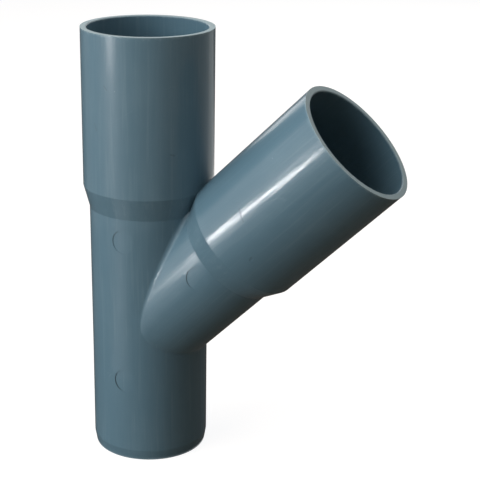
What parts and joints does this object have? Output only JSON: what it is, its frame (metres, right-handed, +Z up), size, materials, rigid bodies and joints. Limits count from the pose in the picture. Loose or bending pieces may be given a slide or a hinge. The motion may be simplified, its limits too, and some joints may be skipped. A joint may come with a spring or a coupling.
{
  "type": "lateral wye fitting",
  "caption": "One-piece moulded 45 degree wye for plastic pipe: a straight run with a plain spigot below and a socket above, and an equal slanted branch socket.",
  "frame": {"origin": "centre of the spigot's end face, where the fitting stands", "axes": "+Z up the main run towards its socket, +X the side the branch leans to, y = 0 the mould's parting plane"},
  "size_m": [0.1392, 0.0554, 0.1857],
  "materials": {
    "grey_pvc": "glossy as moulded, with satin cut rims"
  },
  "bodies": {
    "root": {"wye_body": "grey_pvc"}
  },
  "joints": []
}
